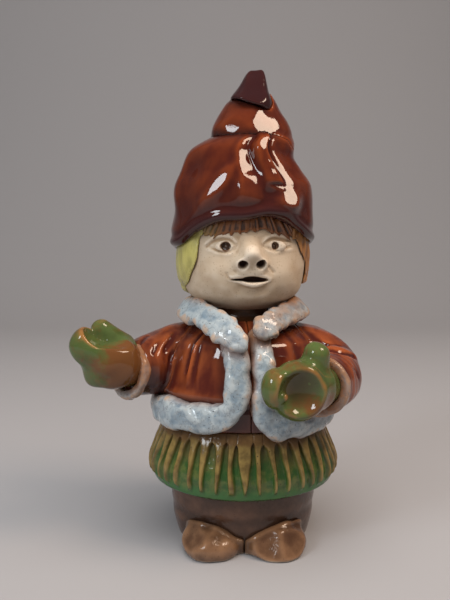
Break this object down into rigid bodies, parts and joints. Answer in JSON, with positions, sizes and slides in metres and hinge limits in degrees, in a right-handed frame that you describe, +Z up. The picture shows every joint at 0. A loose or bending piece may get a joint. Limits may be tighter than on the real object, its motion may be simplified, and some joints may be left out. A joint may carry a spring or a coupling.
{
  "type": "gnome figurine",
  "caption": "Hand-built glazed stoneware gnome child with a tall folded hat, fur-edged jacket, cupped mittens, pleated skirt and boots.",
  "frame": {"origin": "on the table, under the middle of the figure's outline box", "axes": "+Z up; the figure faces -Y, so its own left side is at +X"},
  "size_m": [0.1186, 0.0898, 0.199],
  "materials": {
    "red_glaze": "glossy",
    "fur_glaze": "glossy",
    "green_glaze": "glossy",
    "skirt_glaze": "satin",
    "brown_glaze": "satin",
    "boot_glaze": "glossy",
    "bare_clay": "matte",
    "hair_glaze": "satin",
    "shirt_glaze": "satin"
  },
  "bodies": {
    "root": {"trousers": "brown_glaze", "boot_right": "boot_glaze", "boot_left": "boot_glaze", "skirt": "skirt_glaze", "torso": "shirt_glaze", "jacket_right": "red_glaze", "jacket_left": "red_glaze", "jacket_back": "red_glaze", "fur_edge_right": "fur_glaze", "fur_edge_left": "fur_glaze", "fur_hem_back": "fur_glaze", "sleeve_right": "red_glaze", "sleeve_left": "red_glaze", "mitten_right": "green_glaze", "mitten_left": "green_glaze", "thumb_right": "green_glaze", "thumb_left": "green_glaze", "cuff_right": "fur_glaze", "cuff_left": "fur_glaze", "head": "bare_clay", "nose": "bare_clay", "hair_fringe": "hair_glaze", "hair_right": "hair_glaze", "hair_left": "hair_glaze", "hair_back": "hair_glaze", "collar_right": "fur_glaze", "collar_left": "fur_glaze", "collar_back": "fur_glaze", "hat_dome": "red_glaze", "hat_fold": "red_glaze", "hat_tip": "red_glaze"}
  },
  "joints": []
}
